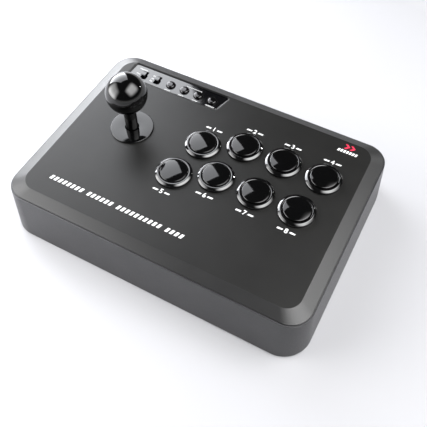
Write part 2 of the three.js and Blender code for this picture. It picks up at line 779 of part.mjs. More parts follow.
function buttonBoard() {
  const { z, thickness, margin } = BUTTON_BOARD;
  const top = z + thickness;
  const xs = BUTTONS.map(({ x }) => x);
  const ys = BUTTONS.map(({ y }) => y);
  const [left, right] = [Math.min(...xs) - margin, Math.max(...xs) + margin];
  const [front, back] = [Math.min(...ys) - margin, Math.max(...ys) + margin];
  const sheet = at(
    block(right - left, back - front, z, top), (left + right) / 2, (front + back) / 2,
  );
  const pressedStem = STEM_BOTTOM - BUTTON_TRAVEL - 0.2;
  const switches = BUTTONS.flatMap(({ x, y }) => [
    at(block(12, 12, top - 0.2, top + 2.6), x, y),
    at(rod(2.4, top, pressedStem, 8), x, y),
  ]);
  return combine(sheet, switches, []);
}

BUTTONS.forEach(({ x, y }, i) => {
  part(`button_rim_${i + 1}`, buttonRim(), GLOSS_BLACK, x, y);
  part(`button_cap_${i + 1}`, buttonCap(), GLOSS_BLACK, x, y);
});
part('button_board', buttonBoard(), BOARD_GREEN);

export default panel;
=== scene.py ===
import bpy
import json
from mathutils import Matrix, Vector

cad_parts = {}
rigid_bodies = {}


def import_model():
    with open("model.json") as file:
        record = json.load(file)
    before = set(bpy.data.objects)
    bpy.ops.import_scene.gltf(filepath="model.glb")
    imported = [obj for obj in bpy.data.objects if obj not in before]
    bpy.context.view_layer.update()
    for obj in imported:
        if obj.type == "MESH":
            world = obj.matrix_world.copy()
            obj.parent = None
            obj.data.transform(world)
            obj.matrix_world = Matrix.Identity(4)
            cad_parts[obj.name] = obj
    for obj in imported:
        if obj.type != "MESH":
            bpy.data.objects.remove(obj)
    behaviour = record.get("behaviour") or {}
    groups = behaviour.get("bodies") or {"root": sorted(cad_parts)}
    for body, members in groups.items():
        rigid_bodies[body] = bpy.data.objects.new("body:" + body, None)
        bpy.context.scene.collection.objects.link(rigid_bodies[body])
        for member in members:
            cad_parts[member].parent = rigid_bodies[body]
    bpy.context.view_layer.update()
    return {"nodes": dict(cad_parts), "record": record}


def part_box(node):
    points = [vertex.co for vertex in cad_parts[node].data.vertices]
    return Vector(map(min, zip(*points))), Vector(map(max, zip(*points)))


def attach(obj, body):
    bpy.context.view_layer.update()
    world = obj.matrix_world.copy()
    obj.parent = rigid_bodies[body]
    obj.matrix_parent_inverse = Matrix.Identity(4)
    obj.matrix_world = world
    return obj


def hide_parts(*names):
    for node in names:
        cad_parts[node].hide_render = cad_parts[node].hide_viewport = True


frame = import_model()

import json
import math

import bmesh
import bpy
from mathutils import Matrix, Vector

# Arcade joystick panel. Shapes are written in millimetres and scaled to metres when they become
# meshes. The camera, the floor and the lights are in metres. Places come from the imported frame.
# +Z is up and the player sits on the -Y side.

MM = 0.001
LATHE_STEPS = 96
CORNER_STEPS = 24

# Edges that turn by more than this stay hard.
SHARP_DEGREES = 32.0

# How far posts and cutters run past the face that they join or cut.
OVERLAP = 1.0


# ---------------------------------------------------------------------------------------------
# Places from the frame, in millimetres
# ---------------------------------------------------------------------------------------------

def low(node):
    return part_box(node)[0] / MM


def high(node):
    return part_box(node)[1] / MM


def middle(node):
    return (low(node) + high(node)) / 2


CORNER_NAMES = ["front_left", "front_right", "back_right", "back_left"]
DECK_Z = high("top_shell").z
SEAM_HALF = Vector(high("top_shell").xy)
BASE_HALF = Vector(high("bottom_shell").xy)
BASE_Z = low("bottom_shell").z
WALL_TOP = high("bottom_shell").z
LEVER = middle("lever_housing")
BALL_RADIUS = 15.0
BALL_Z = high("ball_top").z - BALL_RADIUS

# The sloping shoulder's run, at the sides and at the front and back, and its drop to the seam.
SHOULDER = Vector((10.1, 8.9))
SHOULDER_DROP = 4.2
SEAM_Z = DECK_Z - SHOULDER_DROP
FLARE = BASE_HALF - SEAM_HALF

# The case's outlines at the base, at the seam, at the deck's edge and further in: how far each lies
# inside the seam's outline at the sides and at the front and back, and its corner radius.
OUTLINES = [
    (-FLARE.x, -FLARE.y, 20.7),
    (0.0, 0.0, 16.4),
    (SHOULDER.x, SHOULDER.y, 11.2),
    (SHOULDER.x + 10.0, SHOULDER.y + 10.0, 7.0),
]


# ---------------------------------------------------------------------------------------------
# Mesh helpers
# ---------------------------------------------------------------------------------------------

def filleted(points, steps=5, closed=False):
    """A polyline with its corners rounded. A point is (u, v), or (u, v, radius) to round it."""
    rounded = []
    for i, point in enumerate(points):
        corner = Vector(point[:2])
        radius = point[2] if len(point) > 2 else 0.0
        inner = closed or 0 < i < len(points) - 1
        if not radius or not inner:
            rounded.append(corner)
            continue
        before = (corner - Vector(points[i - 1][:2])).normalized()
        after = (Vector(points[(i + 1) % len(points)][:2]) - corner).normalized()
        turn = math.atan2(before.cross(after), before.dot(after))
        side = Vector((-before.y, before.x)) * math.copysign(1.0, turn)
        start = corner - before * radius * math.tan(abs(turn) / 2)
        for k in range(steps + 1):
            angle = abs(turn) * k / steps
            along = before * math.sin(angle) + side * (1 - math.cos(angle))
            rounded.append(start + along * radius)
    return rounded


def skin(rings, closed=False):
    """A mesh through rings of equal length. A ring of one point is a pole. Open ends get caps."""
    mesh = bmesh.new()
    rows = [[mesh.verts.new(Vector(point) * MM) for point in ring] for ring in rings]
    pairs = list(zip(rows, rows[1:]))
    if closed:
        pairs.append((rows[-1], rows[0]))
    for lower, upper in pairs:
        count = max(len(lower), len(upper))
        for i in range(count):
            j = (i + 1) % count
            corners = [lower[i % len(lower)], lower[j % len(lower)]]
            corners += [upper[j % len(upper)], upper[i % len(upper)]]
            mesh.faces.new(list(dict.fromkeys(corners)))
    if not closed:
        for row in (rows[0], rows[-1]):
            if len(row) > 1:
                mesh.faces.new(row)
    bmesh.ops.recalc_face_normals(mesh, faces=mesh.faces)
    return mesh


def circle(radius, z, steps):
    if radius < 1e-6:
        return [(0.0, 0.0, z)]
    turns = [2 * math.pi * i / steps for i in range(steps)]
    return [(radius * math.cos(a), radius * math.sin(a), z) for a in turns]


def lathe(profile, steps=LATHE_STEPS, closed=False):
    """A solid of revolution about Z from (radius, height) points."""
    return skin([circle(r, z, steps) for r, z in profile], closed)


def case_size(inset):
    """The case's half size and corner radius where its sides lie that far inside the seam."""
    for (a, front_a, corner_a), (b, front_b, corner_b) in zip(OUTLINES, OUTLINES[1:]):
        if inset <= b:
            break
    share = (inset - a) / (b - a)
    front = front_a + (front_b - front_a) * share
    return SEAM_HALF - Vector((inset, front)), corner_a + (corner_b - corner_a) * share


def outline(inset, z, shrink=0.0):
    """The case's rounded rectangle, with its wall thickness taken off by shrink."""
    half, corner = case_size(inset)
    radius = max(corner - shrink, 1.0)
    half = half - Vector((shrink, shrink))
    ring = []
    for quarter in range(4):
        sign_x = 1 if quarter in (0, 3) else -1
        sign_y = 1 if quarter in (0, 1) else -1
        centre = Vector((sign_x * (half.x - radius), sign_y * (half.y - radius)))
        for k in range(CORNER_STEPS + 1):
            angle = (quarter + k / CORNER_STEPS) * math.pi / 2
            x = centre.x + radius * math.cos(angle)
            ring.append((x, centre.y + radius * math.sin(angle), z))
    return ring


def prism(shape, bottom, top, flare=0.0):
    """A prism on a list of (x, y) points, whose top outline is grown by flare."""
    centre = sum((Vector(p) for p in shape), Vector((0, 0))) / len(shape)
    size = max((Vector(p) - centre).length for p in shape)
    grown = [centre + (Vector(p) - centre) * (1 + flare / size) for p in shape]
    rings = [[(*p, bottom) for p in shape], [(*p, top) for p in grown]]
    return skin(rings)


def rectangle(width, depth, radius=0.0, steps=4):
    x, y = width / 2, depth / 2
    shape = [(-x, -y, radius), (x, -y, radius), (x, y, radius), (-x, y, radius)]
    return [tuple(p) for p in filleted(shape, steps, closed=True)]


def moved(mesh, x=0.0, y=0.0, z=0.0):
    bmesh.ops.translate(mesh, verts=mesh.verts, vec=Vector((x, y, z)) * MM)
    return mesh


def turned(mesh, angle, axis):
    matrix = Matrix.Rotation(angle, 3, axis)
    bmesh.ops.rotate(mesh, verts=mesh.verts, cent=(0, 0, 0), matrix=matrix)
    return mesh


def cylinder(radius, bottom, top, x=0.0, y=0.0, steps=48):
    """An upright cylinder: a post, or the cutter of a round hole."""
    profile = [(0, bottom), (radius, bottom), (radius, top), (0, top)]
    return moved(lathe(profile, steps), x, y)


def hole_cutter(radius, bottom, face, chamfer, above, place, steps):
    """A cutter for a round hole up to a face, with a 45 degree chamfer at its edge. above is how
    far the cutter widens on past the face."""
    profile = [
        (0, bottom),
        (radius, bottom),
        (radius, face - chamfer),
        (radius + chamfer + above, face + above),
        (0, face + above),
    ]
    return moved(lathe(profile, steps), place.x, place.y)


def new_object(name, mesh):
    data = bpy.data.meshes.new(name)
    mesh.to_mesh(data)
    mesh.free()
    obj = bpy.data.objects.new(name, data)
    bpy.context.scene.collection.objects.link(obj)
    return obj


def shift_object(obj, place):
    """Moves an object's mesh from the origin to a place in the plan view."""
    obj.data.transform(Matrix.Translation(Vector((place.x, place.y, 0)) * MM))


def apply_modifiers(obj):
    bpy.context.view_layer.update()
    evaluated = obj.evaluated_get(bpy.context.evaluated_depsgraph_get())
    data = bpy.data.meshes.new_from_object(evaluated)
    obj.modifiers.clear()
    obj.data = data


def boolean(obj, meshes, operation):
    """Cuts a list of meshes out of an object, or joins them to it, all at once."""
    tools = bpy.data.collections.new("tools")
    bpy.context.scene.collection.children.link(tools)
    for mesh in meshes:
        tool = new_object("tool", mesh)
        bpy.context.scene.collection.objects.unlink(tool)
        tools.objects.link(tool)
    modifier = obj.modifiers.new(operation.lower(), "BOOLEAN")
    modifier.operation = operation
    modifier.operand_type = "COLLECTION"
    modifier.collection = tools
    modifier.solver = "EXACT"
    apply_modifiers(obj)
    for tool in list(tools.objects):
        bpy.data.objects.remove(tool)
    bpy.data.collections.remove(tools)


def shade(obj, weighted):
    """Smooth shading that keeps hard edges, and keeps flat faces flat where it is weighted."""
    obj.data.shade_smooth()
    obj.data.set_sharp_from_angle(angle=math.radians(SHARP_DEGREES))
    if weighted:
        modifier = obj.modifiers.new("weighted", "WEIGHTED_NORMAL")
        modifier.keep_sharp = True
        apply_modifiers(obj)


def piece(name, mesh, material, body="root", replaces=(), weighted=True):
    """Finishes a mesh or an object as one piece of the model. weighted shading suits pieces with
    broad flat faces, and turned pieces do without it."""
    obj = mesh if isinstance(mesh, bpy.types.Object) else new_object(name, mesh)
    obj.name = name
    shade(obj, weighted)
    obj.data.materials.clear()
    obj.data.materials.append(material)
    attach(obj, body)
    if replaces:
        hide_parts(*replaces)
    return obj


# ---------------------------------------------------------------------------------------------
# Materials
# ---------------------------------------------------------------------------------------------

# Scales of the noises that several plastics share: the finest grain, patches of gloss, and clouds.
GRAIN_SCALE = 2600
PATCH_SCALE = 900
CLOUD_SCALE = 60

# A noise hardly leaves this range, so colour and roughness run from end to end over it.
NOISE_RANGE = (0.3, 0.7)


def map_range(tree, source, source_range, result_range, smooth=False):
    """A value that runs over result_range while its source runs over source_range."""
    node = tree.nodes.new("ShaderNodeMapRange")
    if smooth:
        node.interpolation_type = "SMOOTHSTEP"
    node.inputs["From Min"].default_value = source_range[0]
    node.inputs["From Max"].default_value = source_range[1]
    node.inputs["To Min"].default_value = result_range[0]
    node.inputs["To Max"].default_value = result_range[1]
    tree.links.new(source, node.inputs["Value"])
    return node.outputs["Result"]


class Shader:
    """A Principled material and the few nodes that its texture needs."""

    def __init__(self, name, color, roughness, **constants):
        self.material = bpy.data.materials.new(name)
        self.material.use_nodes = True
        self.tree = self.material.node_tree
        self.bsdf = self.tree.nodes["Principled BSDF"]
        self.bsdf.inputs["Base Color"].default_value = (*color, 1.0)
        self.bsdf.inputs["Roughness"].default_value = roughness
        for socket, value in constants.items():
            self.bsdf.inputs[socket].default_value = value
        self.place = self.tree.nodes.new("ShaderNodeTexCoord").outputs["Object"]

    def noise(self, scale, detail=3.0, stretch=(1, 1, 1)):
        """A noise over the object in metres; a scale of 1000 gives features of about 1 mm."""
        node = self.tree.nodes.new("ShaderNodeTexNoise")
        node.inputs["Scale"].default_value = scale
        node.inputs["Detail"].default_value = detail
        mapping = self.tree.nodes.new("ShaderNodeMapping")
        mapping.inputs["Scale"].default_value = stretch
        self.tree.links.new(self.place, mapping.inputs["Vector"])
        self.tree.links.new(mapping.outputs["Vector"], node.inputs["Vector"])
        return node.outputs["Fac"]

    def roughen(self, source, smoothest, roughest):
        result = map_range(self.tree, source, NOISE_RANGE, (smoothest, roughest))
        self.tree.links.new(result, self.bsdf.inputs["Roughness"])

    def tint(self, source, dark, light):
        ramp = self.tree.nodes.new("ShaderNodeValToRGB")
        for element, position, color in zip(ramp.color_ramp.elements, NOISE_RANGE, (dark, light)):
            element.position = position
            element.color = (*color, 1.0)
        self.tree.links.new(source, ramp.inputs["Fac"])
        self.tree.links.new(ramp.outputs["Color"], self.bsdf.inputs["Base Color"])

    def bump(self, source, strength, height):
        """A bump whose height is in millimetres."""
        node = self.tree.nodes.new("ShaderNodeBump")
        node.inputs["Strength"].default_value = strength
        node.inputs["Distance"].default_value = height * MM
        self.tree.links.new(source, node.inputs["Height"])
        self.tree.links.new(node.outputs["Normal"], self.bsdf.inputs["Normal"])


def shades(color, dark_share, light_share):
    return [tuple(c * share for c in color) for share in (dark_share, light_share)]


def moulded_plastic(name, color, roughness, grain=0.03, strength=0.55, uneven=(-0.04, 0.06),
                    **constants):
    """Matte moulded plastic: a fine spark-eroded grain, as high as grain says in millimetres, and a
    faint cloudiness. uneven is how far the roughness strays to both sides."""
    shader = Shader(name, color, roughness, **constants)
    shader.roughen(shader.noise(PATCH_SCALE), roughness + uneven[0], roughness + uneven[1])
    shader.tint(shader.noise(CLOUD_SCALE, detail=4.0), *shades(color, 0.88, 1.12))
    shader.bump(shader.noise(GRAIN_SCALE, detail=2.0), strength, grain)
    return shader.material


def case_plastic(name, color, roughness, ior):
    """The case's moulded plastic, whose gloss is more even."""
    return moulded_plastic(name, color, roughness, 0.04, 0.5, (-0.03, 0.03), IOR=ior)


def polished_plastic(name, color, roughness, ior=1.5):
    """Polished plastic: nearly mirror-like, with faint wipe marks and moulding unevenness."""
    shader = Shader(name, color, roughness, IOR=ior)
    smear = shader.noise(260, detail=5.0, stretch=(1, 0.35, 1))
    shader.roughen(smear, roughness * 0.7, roughness * 1.7)
    shader.tint(shader.noise(40), *shades(color, 0.85, 1.2))
    shader.bump(shader.noise(90, detail=1.0), strength=0.06, height=0.05)
    return shader.material


def soft_rubber(name, color):
    shader = Shader(name, color, roughness=0.8)
    shader.roughen(shader.noise(700), 0.7, 0.9)
    shader.tint(shader.noise(120, detail=4.0), *shades(color, 0.8, 1.3))
    shader.bump(shader.noise(3200, detail=2.0), strength=0.5, height=0.05)
    return shader.material


def plated_steel(name, color, roughness=0.3):
    shader = Shader(name, color, roughness, Metallic=1.0)
    brushed = shader.noise(700, stretch=(1, 1, 0.04))
    shader.roughen(brushed, roughness * 0.7, roughness * 1.5)
    shader.tint(shader.noise(90, detail=4.0), *shades(color, 0.85, 1.08))
    shader.bump(brushed, strength=0.15, height=0.01)
    return shader.material


def circuit_board(name, color):
    shader = Shader(name, color, roughness=0.35)
    weave = shader.noise(1400, detail=2.0, stretch=(1, 0.2, 1))
    shader.roughen(weave, 0.28, 0.45)
    shader.tint(shader.noise(150, detail=4.0), *shades(color, 0.7, 1.25))
    shader.bump(weave, strength=0.2, height=0.02)
    return shader.material


def print_ink(name, color):
    shader = Shader(name, color, roughness=0.5)
    shader.roughen(shader.noise(PATCH_SCALE, detail=2.0), 0.42, 0.6)
    shader.tint(shader.noise(1800, detail=2.0), *shades(color, 0.9, 1.0))
    return shader.material


CASE = case_plastic("case_black", (0.010, 0.010, 0.0102), 0.37, 1.5)
# A darker copy of the case plastic with weaker reflection, for the level faces on top of the deck:
# painted shade.
DECK_PAINTED_SHADE = case_plastic("deck_black_painted_shade", (0.0075, 0.0074, 0.007), 0.38, 1.335)
# A lighter copy of the case plastic, for the walls of the bottom shell: painted light.
TUB_PAINTED_LIGHT = case_plastic("tub_black_painted_light", (0.027, 0.0267, 0.0290), 0.37, 1.46)
GLOSS = polished_plastic("gloss_black", (0.0012, 0.0012, 0.0013), 0.045)
PANEL = polished_plastic("panel_black", (0.0012, 0.0012, 0.0016), 0.05, 1.72)
RIM_GLOSS = polished_plastic("rim_black", (0.0012, 0.0012, 0.0013), 0.05, 1.75)
SATIN = moulded_plastic("satin_black", (0.006, 0.006, 0.0065), 0.3)
RUBBER = soft_rubber("black_rubber", (0.012, 0.012, 0.012))
STEEL = plated_steel("zinc_plate", (0.58, 0.59, 0.60))
BOARD = circuit_board("green_board", (0.02, 0.13, 0.05))
# A black copy of the circuit board, for the board under the strip's slots: painted shade.
BOARD_PAINTED_SHADE = circuit_board("board_painted_shade", (0.006, 0.007, 0.007))
NATURAL = moulded_plastic("natural_plastic", (0.70, 0.68, 0.62), 0.4)
GATE = moulded_plastic("red_plastic", (0.42, 0.04, 0.025), 0.4)
INK = print_ink("white_ink", (0.62, 0.62, 0.62))
FAINT_INK = print_ink("grey_ink", (0.30, 0.30, 0.30))
RED_INK = print_ink("red_ink", (0.50, 0.012, 0.045))

SLOT_MATERIALS = {
    "circuit_board": BOARD,
    "steel": STEEL,
    "inner_plastic": SATIN,
    "white_plastic": NATURAL,
    "gate_plastic": GATE,
    "gloss_plastic": GLOSS,
    "panel_plastic": PANEL,
    "rubber": RUBBER,
    "case_plastic": CASE,
}


def paint_cad_nodes():
    """Gives every CAD node the material of its slot, whether or not a finer piece hides it."""
    for subpart in frame["record"]["subparts"]:
        data = frame["nodes"][subpart["node"]].data
        data.materials.clear()
        data.materials.append(SLOT_MATERIALS[subpart["material_slot"]])
    # The board under the strip is painted black so that the slots around the slide knobs look dark:
    # painted shade.
    frame["nodes"]["strip_board"].data.materials[0] = BOARD_PAINTED_SHADE


# ---------------------------------------------------------------------------------------------
# Camera, floor and lights
# ---------------------------------------------------------------------------------------------

# Angles in degrees, the distance from the target in metres and the focal length in millimetres.
CAMERA = {"azimuth": 28.5, "elevation": 56.3, "roll": -0.39, "distance": 0.3956, "lens": 49.01}
CAMERA_TARGET = Vector((0.02736, -0.03065, 0.045))

FLOOR_HALF = 6.0
FLOOR_COLOR = (0.40, 0.40, 0.415)
FLOOR_DARK = (0.395, 0.395, 0.41)
FLOOR_LIGHT = (0.405, 0.405, 0.42)

# Distances from the object between which the floor's glow comes up, and its strength there.
GLOW_DISTANCES = (0.32, 0.85)
GLOW = (0.0, 0.9)

# The power by which a softbox fades from its bottom towards its top.
SOFTBOX_FADE = 3.0

# The world's strength at the horizon and above, and the rise over which it fades.
WORLD_RISE = (0.0, 0.13)
WORLD = (0.9, 0.04)


def direction(azimuth, elevation):
    """A unit vector; azimuth is measured from -Y towards +X, elevation from the floor."""
    a, e = math.radians(azimuth), math.radians(elevation)
    return Vector((math.sin(a) * math.cos(e), -math.cos(a) * math.cos(e), math.sin(e)))


def make_camera():
    back = direction(CAMERA["azimuth"], CAMERA["elevation"])
    side = Vector((0, 0, 1)).cross(back).normalized()
    up = back.cross(side)
    facing = Matrix((side, up, back)).transposed().to_4x4()
    data = bpy.data.cameras.new("camera")
    data.lens = CAMERA["lens"]
    data.clip_start = 0.01
    camera = bpy.data.objects.new("camera", data)
    place = Matrix.Translation(CAMERA_TARGET + back * CAMERA["distance"])
    camera.matrix_world = place @ facing @ Matrix.Rotation(math.radians(CAMERA["roll"]), 4, "Z")
    bpy.context.scene.collection.objects.link(camera)
    bpy.context.scene.camera = camera


def make_floor():
    """A white sheet, which glows away from the object so that it stays pale to the horizon."""
    shader = Shader("white_floor", FLOOR_COLOR, roughness=0.9)
    shader.tint(shader.noise(3.0), FLOOR_DARK, FLOOR_LIGHT)
    shader.bump(shader.noise(400), strength=0.05, height=0.05)
    distance = shader.tree.nodes.new("ShaderNodeVectorMath")
    distance.operation = "LENGTH"
    shader.tree.links.new(shader.place, distance.inputs[0])
    glow = map_range(shader.tree, distance.outputs["Value"], GLOW_DISTANCES, GLOW)
    shader.bsdf.inputs["Emission Color"].default_value = (1.0, 1.0, 1.0, 1.0)
    shader.tree.links.new(glow, shader.bsdf.inputs["Emission Strength"])
    mesh = bmesh.new()
    signs = ((-1, -1), (1, -1), (1, 1), (-1, 1))
    mesh.faces.new([mesh.verts.new((x * FLOOR_HALF, y * FLOOR_HALF, 0)) for x, y in signs])
    floor = new_object("floor", mesh)
    floor.data.materials.append(shader.material)


def math_node(tree, operation, first, second):
    """A calculation on the value of a socket and another one, or a plain number."""
    node = tree.nodes.new("ShaderNodeMath")
    node.operation = operation
    tree.links.new(first, node.inputs[0])
    if isinstance(second, float):
        node.inputs[1].default_value = second
    else:
        tree.links.new(second, node.inputs[1])
    return node.outputs["Value"]


def fade_softbox(tree, top_share, soft):
    """Makes a light's strength fall or rise towards its top, and fade at its four edges."""
    place = tree.nodes.new("ShaderNodeSeparateXYZ")
    tree.links.new(tree.nodes.new("ShaderNodeNewGeometry").outputs["Parametric"], place.inputs[0])
    depth = map_range(tree, place.outputs["Y"], (0.0, 1.0), (1.0, 0.0))
    fall = math_node(tree, "POWER", depth, SOFTBOX_FADE)
    strength = map_range(tree, fall, (0.0, 1.0), (top_share, 1.0))
    for axis in ("X", "Y"):
        for edge in ((0.0, soft), (1.0, 1.0 - soft)):
            share = map_range(tree, place.outputs[axis], edge, (0.0, 1.0), smooth=True)
            strength = math_node(tree, "MULTIPLY", strength, share)
    tree.links.new(strength, tree.nodes["Emission"].inputs["Strength"])


def softbox(name, centre, away, size, radiance, top_share=1.0, soft=0.01, roll=0.0, tint=(1, 1, 1)):
    """A rectangular light. away points out of its back, and roll turns it in its own plane, in
    degrees; top_share is the share of its radiance left at its top, and soft the share of its
    width and height over which it fades at each edge."""
    back = Vector(away).normalized()
    across = Vector((0, 0, 1)).cross(back).normalized()
    data = bpy.data.lights.new(name, "AREA")
    data.shape = "RECTANGLE"
    data.size, data.size_y = size
    data.energy = radiance * math.pi * size[0] * size[1]
    data.color = tint
    data.use_nodes = True
    fade_softbox(data.node_tree, top_share, soft)
    light = bpy.data.objects.new(name, data)
    facing = Matrix((across, back.cross(across), back)).transposed().to_4x4()
    facing = facing @ Matrix.Rotation(math.radians(roll), 4, "Z")
    light.matrix_world = Matrix.Translation(centre) @ facing
    light.visible_camera = False
    bpy.context.scene.collection.objects.link(light)


def make_lights():
    softbox("back_left_softbox", (-0.357, 0.215, 0.390), (-0.781, 0.541, 0.313), (0.41, 0.64),
            20.0, top_share=0.2, roll=10.0, tint=(0.94, 0.96, 1.0))
    softbox("front_left_softbox", (-0.405, -0.240, 0.275), (-0.673, -0.535, 0.40), (0.74, 0.60),
            30.0, top_share=0.17, soft=0.34)
    softbox("right_softbox", (0.371, 0.025, 0.55), (0.669, 0.023, 0.72), (1.05, 0.78), 4.6,
            top_share=2.05, soft=0.36)
    softbox("small_lamp", (0.289, 0.479, 0.205), (0.589, 0.781, 0.208), (0.03, 0.03), 60.0)


def make_world():
    """A white surrounding that is bright at the horizon and dim above."""
    world = bpy.data.worlds.new("studio")
    world.use_nodes = True
    tree = world.node_tree
    rise = tree.nodes.new("ShaderNodeSeparateXYZ")
    tree.links.new(tree.nodes.new("ShaderNodeTexCoord").outputs["Generated"], rise.inputs[0])
    strength = map_range(tree, rise.outputs["Z"], WORLD_RISE, WORLD, smooth=True)
    tree.links.new(strength, tree.nodes["Background"].inputs["Strength"])
    tree.nodes["Background"].inputs["Color"].default_value = (1.0, 1.0, 1.0, 1.0)
    bpy.context.scene.world = world
    bpy.context.scene.view_settings.view_transform = "Standard"


# ---------------------------------------------------------------------------------------------
# Case
# ---------------------------------------------------------------------------------------------

WALL = 2.6
BASE_THICKNESS = 2.5
DECK_THICKNESS = 3.0
UNDERSIDE_EDGE = SHOULDER.x + 0.3

# Radii of the rounded edges, and how far inside its edge the flat cap of each skin begins.
SEAM_ROUND = 0.3
DECK_ROUND = 0.9
BASE_ROUND = 0.5
DECK_CAP = 8.0
BASE_CAP = 6.0

# The top shell's lip, which stands inside the walls of the bottom shell.
LIP_INSET = 2.9
LIP_THICKNESS = 1.8
LIP_DEPTH = 3.0

# Radii of the posts for the case screws and the lever's plate screws, and of the holes in them.
# The posts of the two shells nearly meet at POST_JOINT_Z.
POST_JOINT_Z = 26.0
POST_GAP = 0.3
UPPER_POST = 4.0
LOWER_POST = 4.5
PLATE_POST = 3.4
SCREW_HOLE = 1.7
SCREW_HOLE_TOP = DECK_Z - 4.0
SCREW_CHANNEL = 3.2
SCREW_SEAT_Z = 20.0
PLATE_SCREW_HOLE = 1.5
PLATE_SCREW_HOLE_TOP = DECK_Z - 1.5

# Holes through the deck: their radii, their chamfer, and where their cutters start below it.
BUTTON_HOLE = 12.0
LEVER_HOLE = 10.0
HOLE_CHAMFER = 0.3
HOLE_BOTTOM = DECK_Z - 5.0
STRIP_WINDOW = {"width": 76.0, "depth": 12.0, "radius": 1.0}

# The strip's recess: the gap around the panel, how far its left and right ends lean, and how far
# its bevel runs out at the front, back, left and right.
STRIP_GAP = 0.3
STRIP_FLOOR = low("control_strip").z - 0.05
STRIP_TOP = high("control_strip").z
STRIP_LEAN = {"left": 0.7, "right": 4.4}
STRIP_BEVEL_RUN = (1.3, 0.2, 1.2, 1.6)
STRIP_BEVEL_START = STRIP_TOP + 0.1
STRIP_CORNER = 1.8
BEVEL_CORNER = 3.0

# The cable outlet: a flat pad on the flaring back wall, out of which the grommet stands, and the
# hole through it, each with the Y at which it starts and ends.
OUTLET_PAD = {"width": 17.0, "depth": 17.0, "radius": 3.0, "steps": 6}
OUTLET_PAD_Y = (78.0, high("cable_grommet").y - 1.5)
OUTLET_RADIUS = 4.8
OUTLET_HOLE_Y = (70.0, 95.0)

# The underside: a shallow recess for a label, and pockets for the feet.
LABEL = {"width": 64.0, "depth": 34.0, "radius": 3.0, "steps": 8}
LABEL_DEPTH = 0.5
FOOT_POCKET_RADIUS = 8.3
FOOT_POCKET_TOP = 2.8


def strip_shape(growth=(0.0, 0.0, 0.0, 0.0), corner=STRIP_CORNER):
    """The outline of the strip's panel, whose front, back, left and right move out by growth."""
    front, back, left, right = growth
    start, end = low("control_strip"), high("control_strip")
    y0, y1 = start.y - front, end.y + back
    x0, x1 = start.x - left, end.x + right
    shape = [
        (x0, y0, corner),
        (x1 - STRIP_LEAN["right"], y0, corner),
        (x1, y1, corner),
        (x0 + STRIP_LEAN["left"], y1, corner),
    ]
    return [tuple(p) for p in filleted(shape, steps=8, closed=True)]


def strip_recess():
    """A cutter for the strip's recess: a low straight wall, then a wide bevel on three sides."""
    straight = strip_shape([STRIP_GAP] * 4)
    wide = strip_shape([STRIP_GAP + run for run in STRIP_BEVEL_RUN], BEVEL_CORNER)
    rings = [
        [(*p, STRIP_FLOOR) for p in straight],
        [(*p, STRIP_BEVEL_START) for p in straight],
        [(*p, DECK_Z) for p in wide],
        [(*p, DECK_Z + OVERLAP) for p in wide],
    ]
    return skin(rings)


def strip_window():
    """A cutter for the opening in the recess's floor, through which the controls reach their
    board. It ends inside the recess."""
    window = prism(rectangle(**STRIP_WINDOW), HOLE_BOTTOM, DECK_Z - 0.5)
    return moved(window, middle("control_strip").x, middle("home_button").y)


def deck_hole(radius, place):
    return hole_cutter(radius, HOLE_BOTTOM, DECK_Z, HOLE_CHAMFER, 2.0, place, steps=72)


def make_top_shell():
    """The deck with its sloping shoulder. Its outline runs from the underside of the deck down
    inside the lip, up outside it, and over the shoulder to the upper face of the deck."""
    flat = SHOULDER.x + DECK_CAP
    lip_inside = LIP_INSET + LIP_THICKNESS
    underside = DECK_Z - DECK_THICKNESS
    levels = filleted([
        (flat, underside),
        (UNDERSIDE_EDGE, underside),
        (lip_inside, SEAM_Z),
        (lip_inside, SEAM_Z - LIP_DEPTH),
        (LIP_INSET, SEAM_Z - LIP_DEPTH),
        (LIP_INSET, SEAM_Z),
        (0.0, SEAM_Z, SEAM_ROUND),
        (SHOULDER.x, DECK_Z, DECK_ROUND),
        (flat, DECK_Z),
    ])
    shell = new_object("top_shell_fine", skin([outline(inset, z) for inset, z in levels]))

    case_screws = [middle(f"case_screw_{corner}") for corner in CORNER_NAMES]
    plate_screws = [middle(f"plate_screw_{corner}") for corner in CORNER_NAMES]
    plate_top = high("lever_mounting_plate").z
    post_bottom, post_top = POST_JOINT_Z + POST_GAP, DECK_Z - OVERLAP
    posts = [cylinder(UPPER_POST, post_bottom, post_top, at.x, at.y) for at in case_screws]
    posts += [cylinder(PLATE_POST, plate_top, post_top, at.x, at.y) for at in plate_screws]
    boolean(shell, posts, "UNION")

    holes = [strip_recess()]
    for at in case_screws:
        holes.append(cylinder(SCREW_HOLE, POST_JOINT_Z - OVERLAP, SCREW_HOLE_TOP, at.x, at.y))
    hole_bottom = plate_top - OVERLAP
    for at in plate_screws:
        holes.append(cylinder(PLATE_SCREW_HOLE, hole_bottom, PLATE_SCREW_HOLE_TOP, at.x, at.y))
    holes += [deck_hole(BUTTON_HOLE, middle(f"button_rim_{i}")) for i in range(1, 9)]
    holes.append(deck_hole(LEVER_HOLE, LEVER))
    holes.append(strip_window())
    boolean(shell, holes, "DIFFERENCE")

    top = piece("top_shell_fine", shell, CASE, replaces=["top_shell"])
    # The level faces on top of the deck take the darker, less reflective copy of the case plastic:
    # painted shade.
    top.data.materials.append(DECK_PAINTED_SHADE)
    for face in top.data.polygons:
        is_level = face.normal.z > 0.999
        is_on_top = face.center.z > (DECK_Z - 0.02) * MM
        if is_level and is_on_top:
            face.material_index = 1


